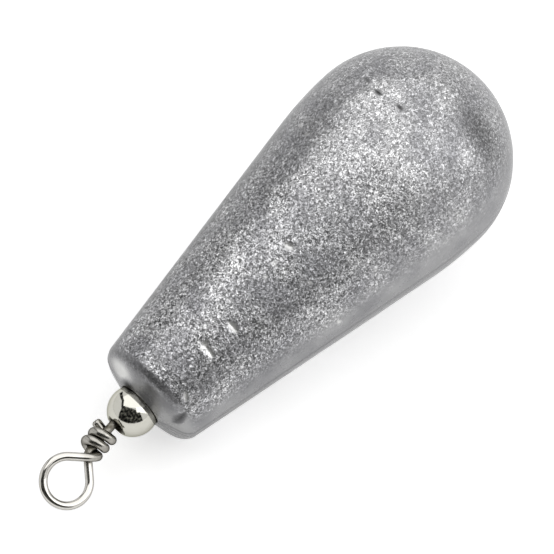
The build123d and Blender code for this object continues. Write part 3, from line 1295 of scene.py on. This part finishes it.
        # The tarnish layer carries painted shade and painted light as well as tarnish.
        for layer, values in ((Layer.GRAIN, grain), (Layer.TARNISH_AND_PAINTED_LIGHT, patch)):
            store(piece, layer, np.concatenate([values[:1, 0], values.ravel(), hidden]))
        dress(piece, material, Body.SINKER, Slot.LEAD, "lead_body")
        return piece


@dataclass(frozen=True)
class WhitePaper:
    """Smooth white paper, which spreads light evenly and takes a soft shadow.

    The lift makes it show white to the camera and in reflections, and adds no diffuse light to the sinker.
    """

    body: str = "#f2f2f2"
    fibre_shade: str = "#ececec"
    fibre: float = 1.5
    lift: float = 0.58

    def material(self) -> bpy.types.Material:
        """Builds the material."""
        material, tree = new_material("paper_white_matt")
        place = add_node(tree, "TexCoord").outputs["Object"]
        fibre = add_node(tree, "TexNoise", {"Vector": place, "Scale": per_metre(self.fibre)})
        colour = add_node(
            tree, "MixRGB", {"Fac": fibre, "Color1": linear(self.body), "Color2": linear(self.fibre_shade)}
        )
        matt = add_node(tree, "BsdfDiffuse", {"Color": colour})
        lift = add_node(tree, "Math", {0: seen_rays(tree), 1: self.lift}, operation="MULTIPLY")
        glow = add_node(tree, "Emission", {"Strength": lift})
        both = add_node(tree, "AddShader", {0: matt, 1: glow})
        add_node(tree, "OutputMaterial", {"Surface": both})
        return material


@dataclass(frozen=True)
class BlackFlock:
    """Black flocked cloth. Lighter soft blotches are painted on it as the light on its folds, and they show
    where the plating mirrors it.
    """

    body: str = "#161617"
    painted_fold_light: str = "#c4c4bc"
    nap: float = 140.0
    fold_light_span: tuple[float, float] = (0.46, 0.74)

    def material(self) -> bpy.types.Material:
        """Builds the material."""
        material, tree = new_material("cloth_black_flocked")
        place = add_node(tree, "TexCoord").outputs["Object"]
        nap = add_node(tree, "TexNoise", {"Vector": place, "Scale": per_metre(self.nap)})
        low, high = self.fold_light_span
        # Painted light of the cloth's folds, on a flat sheet.
        fold_light = add_node(tree, "MapRange", {"Value": nap, "From Min": low, "From Max": high})
        colour = add_node(
            tree, "MixRGB", {"Fac": fold_light, "Color1": linear(self.body), "Color2": linear(self.painted_fold_light)}
        )
        matt = add_node(tree, "BsdfDiffuse", {"Color": colour})
        add_node(tree, "OutputMaterial", {"Surface": matt})
        return material


@dataclass(frozen=True)
class Panel:
    """A flat panel of the studio that faces the sinker. Sizes are in metres and angles in degrees.

    The bearing is the way it stands, round Z from +X, the height is its middle's angle above the floor, and
    the roll turns it in its own plane.
    """

    name: str
    bearing: float
    height: float
    distance: float
    width: float
    length: float
    roll: float = 0.0
    radiance: float = 0.0

    def place(self) -> Matrix:
        """Where the panel stands, with its Z away from the sinker and its Y up."""
        bearing = math.radians(self.bearing)
        height = math.radians(self.height)
        flat = math.cos(height)
        back = Vector((flat * math.cos(bearing), flat * math.sin(bearing), math.sin(height)))
        turn = back.to_track_quat("Z", "Y").to_matrix().to_4x4()
        roll = Matrix.Rotation(math.radians(self.roll), 4, "Z")
        return Matrix.Translation(back * self.distance) @ turn @ roll


@dataclass(frozen=True)
class Studio:
    """The floor, the lights, the cards and the camera. Sizes are in metres."""

    floor_size: float = 4.0
    surround: str = "#ffffff"
    ambient: float = 0.35
    softboxes: tuple[Panel, ...] = (
        Panel("softbox_top", 10.2, 73.0, 0.62, 1.48, 0.84, 34.8, 0.85),
        Panel("softbox_right", -67.5, 34.0, 0.62, 0.78, 0.24, -55.4, 1.28),
    )
    cards: tuple[Panel, ...] = (
        Panel("card_front", -158.4, 28.4, 0.62, 0.97, 1.02),
        Panel("card_right", -107.0, 20.0, 0.6, 0.3, 0.5),
        Panel("frame_far", 89.4, 27.8, 0.6, 0.1, 0.58, -32.8),
        Panel("frame_left", 133.0, 48.0, 0.6, 0.38, 0.1, -7.4),
    )
    azimuth: float = -45.01057
    elevation: float = 53.0339
    distance: float = 0.2808136
    lens: float = 200.0
    sensor: float = 36.0
    aim_from_neck: tuple[float, float, float] = (0.015406, -0.001199, 0.004776)

    def build(self, neck: Vector) -> None:
        """Sets up the studio.

        Args:
            neck: Middle of the neck's plane in the row frame, in metres.
        """
        self.light_world()
        stage = [self.sheet("floor", self.floor_size, self.floor_size, WhitePaper().material())]
        black = BlackFlock().material()
        for card in self.cards:
            flat = self.sheet(card.name, card.width, card.length, black)
            flat.matrix_world = card.place()
            flat.visible_camera = False
            stage.append(flat)
        for box in self.softboxes:
            light = bpy.data.lights.new(box.name, "AREA")
            light.shape = "RECTANGLE"
            light.size = box.width
            light.size_y = box.length
            light.energy = box.radiance * math.pi * box.width * box.length
            lamp = bpy.data.objects.new(box.name, light)
            lamp.matrix_world = box.place()
            lamp.visible_camera = False
            bpy.context.scene.collection.objects.link(lamp)
        self.aim_camera(neck)

    @staticmethod
    def sheet(name: str, width: float, length: float, material: bpy.types.Material) -> bpy.types.Object:
        """Makes a flat sheet round the origin.

        Args:
            name: Name of the sheet.
            width: Its size along X.
            length: Its size along Y.
            material: Its material.

        Returns:
            The sheet.
        """
        corners = [(x * width / 2, y * length / 2, 0) for x, y in ((-1, -1), (1, -1), (1, 1), (-1, 1))]
        mesh = bpy.data.meshes.new(name)
        mesh.from_pydata(corners, [], [(0, 1, 2, 3)])
        mesh.materials.append(material)
        flat = bpy.data.objects.new(name, mesh)
        bpy.context.scene.collection.objects.link(flat)
        return flat

    def light_world(self) -> None:
        """Sets a white surround that is dimmer as a light than it looks."""
        world = bpy.data.worlds.new("studio_white")
        world.use_nodes = True
        tree = world.node_tree
        tree.nodes.clear()
        fill, white = (
            add_node(tree, "Background", {"Color": linear(self.surround), "Strength": strength})
            for strength in (self.ambient, 1.0)
        )
        mix = add_node(tree, "MixShader", {0: seen_rays(tree), 1: fill, 2: white})
        add_node(tree, "OutputWorld", {"Surface": mix})
        bpy.context.scene.world = world

    def aim_camera(self, neck: Vector) -> None:
        """Adds the camera.

        Args:
            neck: Middle of the neck's plane in the row frame, in metres.
        """
        turn = math.radians(self.azimuth)
        rise = math.radians(self.elevation)
        back = Vector((math.sin(turn) * math.cos(rise), -math.cos(turn) * math.cos(rise), math.sin(rise)))
        data = bpy.data.cameras.new("camera")
        data.lens = self.lens
        data.sensor_width = self.sensor
        camera = bpy.data.objects.new("camera", data)
        aim = neck + Vector(self.aim_from_neck)
        facing = back.to_track_quat("Z", "Y").to_matrix().to_4x4()
        camera.matrix_world = Matrix.Translation(aim + back * self.distance) @ facing
        bpy.context.scene.collection.objects.link(camera)
        bpy.context.scene.camera = camera


@dataclass(frozen=True)
class Sinker:
    """The whole sinker: the lead, the barrel and the two eyes. Angles are in degrees."""

    eye_turn: float = 30.0
    eye_lean: float = 5.1
    lean_above_mouth: float = 4.0
    anchor_turn: float = 90.0

    def build(self) -> Vector:
        """Makes every piece.

        Returns:
            Middle of the neck's plane in the row frame, in metres.
        """
        barrel = SwivelBarrel()
        eye = WireEye(barrel)
        anchor = WireEye(barrel, wrap_swell=0.0)
        lead = LeadBody(barrel, anchor)
        place = lead.place()
        middle = Matrix.Translation((0, 0, lead.swivel_height))
        pivot = Matrix.Translation((0, 0, barrel.mouth_height + self.lean_above_mouth))
        turn = Matrix.Rotation(math.radians(-self.eye_turn), 4, "Z")
        lean = Matrix.Rotation(math.radians(self.eye_lean), 4, "Y")
        eye_at = middle @ turn @ pivot @ lean @ pivot.inverted()
        over = Matrix.Rotation(math.pi, 4, "X")
        anchor_at = middle @ (over @ Matrix.Rotation(math.radians(self.anchor_turn), 4, "Z"))
        nickel = BrightNickel().material()
        wire = WireNickel().material()
        lead.build(place, anchor_at, CastLead().material())
        barrel.build(place @ middle, nickel)
        eye.build("line_eye_wire", place @ eye_at, wire, Body.EYE, "line_eye")
        anchor.build("anchor_eye_wire", place @ anchor_at, wire, Body.SINKER, "anchor_eye")
        return place.translation * MM


def main() -> None:
    """Builds the sinker's pieces, the studio and the camera."""
    logging.basicConfig(level=logging.INFO, format="%(name)s: %(message)s")
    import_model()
    neck = Sinker().build()
    Studio().build(neck)
    bpy.context.scene.view_settings.view_transform = "Standard"


if __name__ == "__main__":
    main()
